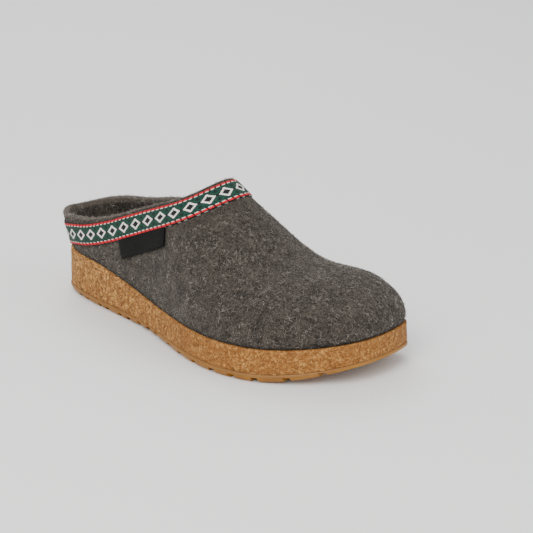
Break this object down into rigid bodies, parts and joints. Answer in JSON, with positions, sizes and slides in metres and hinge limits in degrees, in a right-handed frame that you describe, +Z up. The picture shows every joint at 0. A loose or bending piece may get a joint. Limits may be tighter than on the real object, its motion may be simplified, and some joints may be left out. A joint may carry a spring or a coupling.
{
  "type": "clog slipper",
  "caption": "Felt clog slipper with a cork midsole, rubber tread and woven collar ribbon, right foot.",
  "frame": {"origin": "centre of the whole shoe's box, on the floor", "axes": "+X from heel to toe, +Y towards the inner side of the foot, +Z up"},
  "size_m": [0.282, 0.1106, 0.1026],
  "materials": {
    "amber_rubber": "slightly clear amber rubber, satin",
    "cork": "ground cork, fine grained, matt",
    "insole_felt": "thin grey felt, matt",
    "grey_felt": "boiled wool felt, dark warm grey with lighter hairs",
    "ribbon_weave": "woven ribbon, green ground with white diamonds and red and white borders",
    "label_weave": "fine black weave, bare"
  },
  "bodies": {
    "root": {"outsole": "amber_rubber", "midsole": "cork", "insole": "insole_felt", "upper": "grey_felt", "collar_ribbon": "ribbon_weave", "label": "label_weave"}
  },
  "joints": []
}
